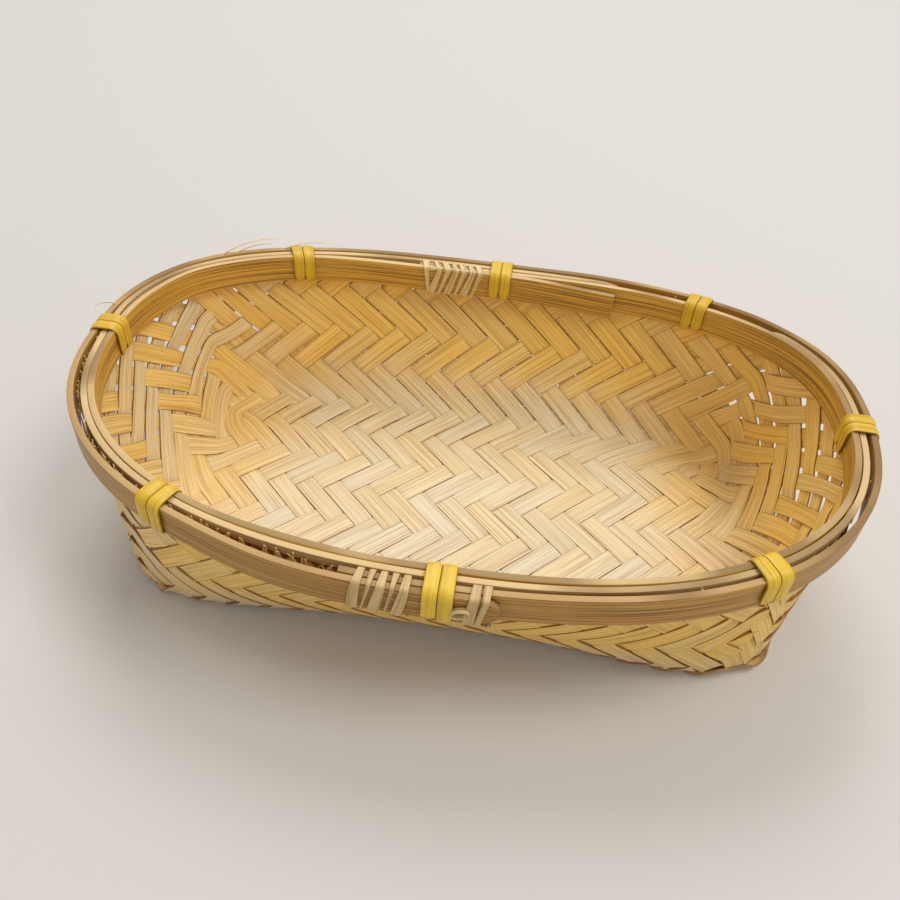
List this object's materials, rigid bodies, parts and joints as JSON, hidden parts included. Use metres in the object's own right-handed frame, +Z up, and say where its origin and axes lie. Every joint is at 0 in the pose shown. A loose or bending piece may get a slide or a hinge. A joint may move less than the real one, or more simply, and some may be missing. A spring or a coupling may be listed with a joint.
{
  "type": "bamboo tray",
  "caption": "Small oval tray of twill-woven bamboo strips between two bent bamboo rim hoops, held by cane ties, with an open mesh wall and four corner feet.",
  "frame": {"origin": "middle of the tray's outer box, on the floor plane that it stands on", "axes": "+X along the tray's long side, +Y towards its back long side, +Z up"},
  "size_m": [0.2502, 0.1654, 0.0642],
  "materials": {
    "bamboo_weave": "split inner bamboo, matt, fine lengthwise grain",
    "bamboo_hoop": "split bamboo, matt face with pale cut edges",
    "bamboo_lashing": "thin bamboo strip, matt",
    "cane_tie": "dyed cane, satin sheen"
  },
  "bodies": {
    "root": {"woven_mat": "bamboo_weave", "inner_hoop": "bamboo_hoop", "outer_hoop": "bamboo_hoop", "edge_cover_strip": "bamboo_hoop", "cane_tie_1": "cane_tie", "cane_tie_2": "cane_tie", "cane_tie_3": "cane_tie", "cane_tie_4": "cane_tie", "cane_tie_5": "cane_tie", "cane_tie_6": "cane_tie", "cane_tie_7": "cane_tie", "cane_tie_8": "cane_tie", "back_lashing": "bamboo_lashing", "front_lashing": "bamboo_lashing", "front_end_lashing": "bamboo_lashing"}
  },
  "joints": []
}
